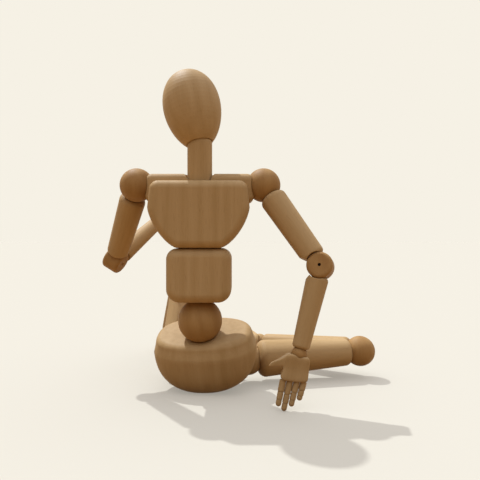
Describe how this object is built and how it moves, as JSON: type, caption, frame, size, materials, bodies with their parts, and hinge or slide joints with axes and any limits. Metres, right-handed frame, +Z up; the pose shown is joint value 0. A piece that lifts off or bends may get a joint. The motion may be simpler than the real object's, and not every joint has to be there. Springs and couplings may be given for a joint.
{
  "type": "jointed artist mannequin",
  "caption": "Wooden jointed drawing figure with an egg head, ball and disc joints held by hidden springs, seated with one knee raised and one hand on the floor.",
  "frame": {"origin": "on the floor, at the middle of the seated figure's footprint box", "axes": "+Z up; the figure faces -Y; its left side is +X"},
  "size_m": [0.1562, 0.1585, 0.1683],
  "materials": {
    "limb_wood": "fine sanded, clear matt varnish",
    "ball_wood": "turned, clear satin varnish",
    "steel": "plain drawn wire"
  },
  "bodies": {
    "pelvis": {"pelvis": "limb_wood", "pelvis_eye": "steel"},
    "waist_ball": {"waist_ball": "ball_wood"},
    "belly": {"belly": "limb_wood", "torso_spring": "steel"},
    "chest": {"chest_block": "limb_wood", "shoulder_yoke": "limb_wood", "neck_pin": "steel"},
    "neck": {"neck": "limb_wood", "neck_spring": "steel"},
    "head_eye": {"head_eye": "steel"},
    "head": {"head": "limb_wood"},
    "left_shoulder_ball": {"left_shoulder_ball": "ball_wood", "left_shoulder_spring": "steel"},
    "left_upper_arm_spring": {"left_upper_arm_spring": "steel"},
    "left_upper_arm": {"left_upper_arm": "limb_wood"},
    "left_wrist_ball": {"left_wrist_ball": "ball_wood"},
    "left_index_finger": {"left_index_finger": "limb_wood"},
    "left_middle_finger": {"left_middle_finger": "limb_wood"},
    "left_ring_finger": {"left_ring_finger": "limb_wood"},
    "left_little_finger": {"left_little_finger": "limb_wood"},
    "left_thigh_spring": {"left_thigh_spring": "steel"},
    "left_thigh": {"left_thigh": "limb_wood"},
    "left_knee_ball": {"left_knee_ball": "ball_wood"},
    "left_elbow_disc": {"left_elbow_disc": "ball_wood", "left_elbow_pin": "steel"},
    "left_forearm": {"left_forearm": "limb_wood", "left_forearm_spring": "steel"},
    "left_hand": {"left_hand": "limb_wood", "left_wrist_eye": "steel"},
    "left_hip_ball": {"left_hip_ball": "ball_wood", "left_hip_spring": "steel"},
    "left_shin": {"left_shin": "limb_wood", "left_shin_spring": "steel"},
    "left_foot": {"left_foot": "limb_wood", "left_ankle_ball": "ball_wood"},
    "right_shoulder_ball": {"right_shoulder_ball": "ball_wood", "right_shoulder_spring": "steel"},
    "right_upper_arm_spring": {"right_upper_arm_spring": "steel"},
    "right_upper_arm": {"right_upper_arm": "limb_wood"},
    "right_wrist_ball": {"right_wrist_ball": "ball_wood"},
    "right_index_finger": {"right_index_finger": "limb_wood"},
    "right_middle_finger": {"right_middle_finger": "limb_wood"},
    "right_ring_finger": {"right_ring_finger": "limb_wood"},
    "right_little_finger": {"right_little_finger": "limb_wood"},
    "right_thigh_spring": {"right_thigh_spring": "steel"},
    "right_thigh": {"right_thigh": "limb_wood"},
    "right_knee_ball": {"right_knee_ball": "ball_wood"},
    "right_elbow_disc": {"right_elbow_disc": "ball_wood", "right_elbow_pin": "steel"},
    "right_forearm": {"right_forearm": "limb_wood", "right_forearm_spring": "steel"},
    "right_hand": {"right_hand": "limb_wood", "right_wrist_eye": "steel"},
    "right_hip_ball": {"right_hip_ball": "ball_wood", "right_hip_spring": "steel"},
    "right_shin": {"right_shin": "limb_wood", "right_shin_spring": "steel"},
    "right_foot": {"right_foot": "limb_wood", "right_ankle_ball": "ball_wood"}
  },
  "joints": [
    {"name": "waist_side_bend", "type": "hinge", "parent": "pelvis", "child": "waist_ball", "pos_m": [0.0208, 0.0528, 0.03845], "axis": [0.1195, 0.9539, -0.2753], "range_deg": [-14, 14]},
    {"name": "waist_bend", "type": "hinge", "parent": "waist_ball", "child": "belly", "pos_m": [0.0208, 0.0528, 0.03845], "axis": [1, 0, 0], "range_deg": [-15, 15]},
    {"name": "chest_turn", "type": "hinge", "parent": "belly", "child": "chest", "pos_m": [0.0208, 0.0528, 0.07585], "axis": [0, 0, 1], "range_deg": [-25, 25]},
    {"name": "neck_tilt", "type": "hinge", "parent": "chest", "child": "neck", "pos_m": [0.0208, 0.0554, 0.10685], "axis": [1, 0, 0], "range_deg": [-11, 10]},
    {"name": "head_nod", "type": "hinge", "parent": "neck", "child": "head_eye", "pos_m": [0.0208, 0.0554, 0.12835], "axis": [1, 0, 0], "range_deg": [-24, 8]},
    {"name": "head_turn", "type": "hinge", "parent": "head_eye", "child": "head", "pos_m": [0.0208, 0.0554, 0.12835], "axis": [0.2041, -0.1908, 0.9602], "range_deg": [-60, 60]},
    {"name": "left_shoulder_swing", "type": "hinge", "parent": "chest", "child": "left_shoulder_ball", "pos_m": [0.0534, 0.0528, 0.10795], "axis": [1, 0, 0], "range_deg": [-60, 12]},
    {"name": "left_shoulder_spread", "type": "hinge", "parent": "left_shoulder_ball", "child": "left_upper_arm_spring", "pos_m": [0.0534, 0.0528, 0.10795], "axis": [0, 0.8143, -0.5805], "range_deg": [-24, 10]},
    {"name": "left_arm_twist", "type": "hinge", "parent": "left_upper_arm_spring", "child": "left_upper_arm", "pos_m": [0.0534, 0.0528, 0.10795], "axis": [-0.3438, 0.5451, 0.7647], "range_deg": [-18, 18]},
    {"name": "left_elbow_upper", "type": "hinge", "parent": "left_upper_arm", "child": "left_elbow_disc", "pos_m": [0.0711, 0.02473, 0.06857], "axis": [0.8501, -0.1652, 0.5], "range_deg": [-5, 28]},
    {"name": "left_elbow_lower", "type": "hinge", "parent": "left_elbow_disc", "child": "left_forearm", "pos_m": [0.0711, 0.02473, 0.06857], "axis": [0.8501, -0.1652, 0.5], "range_deg": [-5, 28]},
    {"name": "left_wrist_turn", "type": "hinge", "parent": "left_forearm", "child": "left_wrist_ball", "pos_m": [0.05165, -0.00601, 0.09149], "axis": [0.4525, 0.7148, -0.5332], "range_deg": [-40, 40]},
    {"name": "left_wrist_bend", "type": "hinge", "parent": "left_wrist_ball", "child": "left_hand", "pos_m": [0.05165, -0.00601, 0.09149], "axis": [0.8501, -0.1652, 0.5], "range_deg": [-24, 24]},
    {"name": "left_knuckle_0", "type": "hinge", "parent": "left_hand", "child": "left_index_finger", "pos_m": [0.0415, -0.01495, 0.0964], "axis": [0.8501, -0.1652, 0.5], "range_deg": [-30, 30]},
    {"name": "left_knuckle_1", "type": "hinge", "parent": "left_hand", "child": "left_middle_finger", "pos_m": [0.04422, -0.01548, 0.098], "axis": [0.8501, -0.1652, 0.5], "range_deg": [-30, 30]},
    {"name": "left_knuckle_2", "type": "hinge", "parent": "left_hand", "child": "left_ring_finger", "pos_m": [0.04712, -0.01556, 0.09923], "axis": [0.8501, -0.1652, 0.5], "range_deg": [-30, 30]},
    {"name": "left_knuckle_3", "type": "hinge", "parent": "left_hand", "child": "left_little_finger", "pos_m": [0.04998, -0.01572, 0.10051], "axis": [0.8501, -0.1652, 0.5], "range_deg": [-30, 30]},
    {"name": "left_hip_swing", "type": "hinge", "parent": "pelvis", "child": "left_hip_ball", "pos_m": [0.03553, 0.02413, 0.01087], "axis": [0.9889, -0.139, -0.0523], "range_deg": [-1.5, 60]},
    {"name": "left_hip_spread", "type": "hinge", "parent": "left_hip_ball", "child": "left_thigh_spring", "pos_m": [0.03553, 0.02413, 0.01087], "axis": [-0.1445, -0.8185, -0.556], "range_deg": [-12, 4]},
    {"name": "left_leg_twist", "type": "hinge", "parent": "left_thigh_spring", "child": "left_thigh", "pos_m": [0.03553, 0.02413, 0.01087], "axis": [0.0151, 0.56, -0.8283], "range_deg": [-10, 10]},
    {"name": "left_knee_upper", "type": "hinge", "parent": "left_thigh", "child": "left_knee_ball", "pos_m": [0.03453, -0.01311, 0.06595], "axis": [0.9661, 0.2054, 0.1564], "range_deg": [-29, 3]},
    {"name": "left_knee_lower", "type": "hinge", "parent": "left_knee_ball", "child": "left_shin", "pos_m": [0.03453, -0.01311, 0.06595], "axis": [0.9661, 0.2054, 0.1564], "range_deg": [-48, 3]},
    {"name": "left_ankle_bend", "type": "hinge", "parent": "left_shin", "child": "left_foot", "pos_m": [0.05143, -0.05228, 0.013], "axis": [0.9661, 0.2054, 0.1564], "range_deg": [-24, 24]},
    {"name": "right_shoulder_swing", "type": "hinge", "parent": "chest", "child": "right_shoulder_ball", "pos_m": [-0.0118, 0.0528, 0.10795], "axis": [1, 0, 0], "range_deg": [-12, 60]},
    {"name": "right_shoulder_spread", "type": "hinge", "parent": "right_shoulder_ball", "child": "right_upper_arm_spring", "pos_m": [-0.0118, 0.0528, 0.10795], "axis": [0, 0.9256, 0.3786], "range_deg": [-22, 24]},
    {"name": "right_arm_twist", "type": "hinge", "parent": "right_upper_arm_spring", "child": "right_upper_arm", "pos_m": [-0.0118, 0.0528, 0.10795], "axis": [0.5187, -0.3237, 0.7913], "range_deg": [-18, 18]},
    {"name": "right_elbow_upper", "type": "hinge", "parent": "right_upper_arm", "child": "right_elbow_disc", "pos_m": [-0.03851, 0.06947, 0.06719], "axis": [-0.2696, -0.9403, -0.2079], "range_deg": [-22, 28]},
    {"name": "right_elbow_lower", "type": "hinge", "parent": "right_elbow_disc", "child": "right_forearm", "pos_m": [-0.03851, 0.06947, 0.06719], "axis": [-0.2696, -0.9403, -0.2079], "range_deg": [-22, 28]},
    {"name": "right_wrist_turn", "type": "hinge", "parent": "right_forearm", "child": "right_wrist_ball", "pos_m": [-0.02751, 0.07541, 0.02605], "axis": [-0.2559, -0.1382, 0.9568], "range_deg": [-40, 40]},
    {"name": "right_wrist_bend", "type": "hinge", "parent": "right_wrist_ball", "child": "right_hand", "pos_m": [-0.02751, 0.07541, 0.02605], "axis": [0.9744, 0, 0.225], "range_deg": [-24, 24]},
    {"name": "right_knuckle_0", "type": "hinge", "parent": "right_hand", "child": "right_index_finger", "pos_m": [-0.01988, 0.07685, 0.01393], "axis": [0.9744, 0, 0.225], "range_deg": [-30, 30]},
    {"name": "right_knuckle_1", "type": "hinge", "parent": "right_hand", "child": "right_middle_finger", "pos_m": [-0.023, 0.07685, 0.01321], "axis": [0.9744, 0, 0.225], "range_deg": [-30, 30]},
    {"name": "right_knuckle_2", "type": "hinge", "parent": "right_hand", "child": "right_ring_finger", "pos_m": [-0.02616, 0.07679, 0.0131], "axis": [0.9744, 0, 0.225], "range_deg": [-30, 30]},
    {"name": "right_knuckle_3", "type": "hinge", "parent": "right_hand", "child": "right_little_finger", "pos_m": [-0.02929, 0.07674, 0.01288], "axis": [0.9744, 0, 0.225], "range_deg": [-30, 30]},
    {"name": "right_hip_swing", "type": "hinge", "parent": "pelvis", "child": "right_hip_ball", "pos_m": [-0.00402, 0.02969, 0.01296], "axis": [0.9889, -0.139, -0.0523], "range_deg": [-50, 60]},
    {"name": "right_hip_spread", "type": "hinge", "parent": "right_hip_ball", "child": "right_thigh_spring", "pos_m": [-0.00402, 0.02969, 0.01296], "axis": [-0.0448, 0.0566, -0.9974], "range_deg": [-26, 26]},
    {"name": "right_leg_twist", "type": "hinge", "parent": "right_thigh_spring", "child": "right_thigh", "pos_m": [-0.00402, 0.02969, 0.01296], "axis": [0.9842, 0.1736, -0.0344], "range_deg": [-10, 10]},
    {"name": "right_knee_upper", "type": "hinge", "parent": "right_thigh", "child": "right_knee_ball", "pos_m": [-0.06947, 0.01814, 0.01525], "axis": [0.0349, 0, 0.9994], "range_deg": [-29, 0.5]},
    {"name": "right_knee_lower", "type": "hinge", "parent": "right_knee_ball", "child": "right_shin", "pos_m": [-0.06947, 0.01814, 0.01525], "axis": [0.0349, 0, 0.9994], "range_deg": [-48, 0.5]},
    {"name": "right_ankle_bend", "type": "hinge", "parent": "right_shin", "child": "right_foot", "pos_m": [-0.01248, -0.0189, 0.01326], "axis": [0.0349, 0, 0.9994], "range_deg": [-24, 24]}
  ]
}
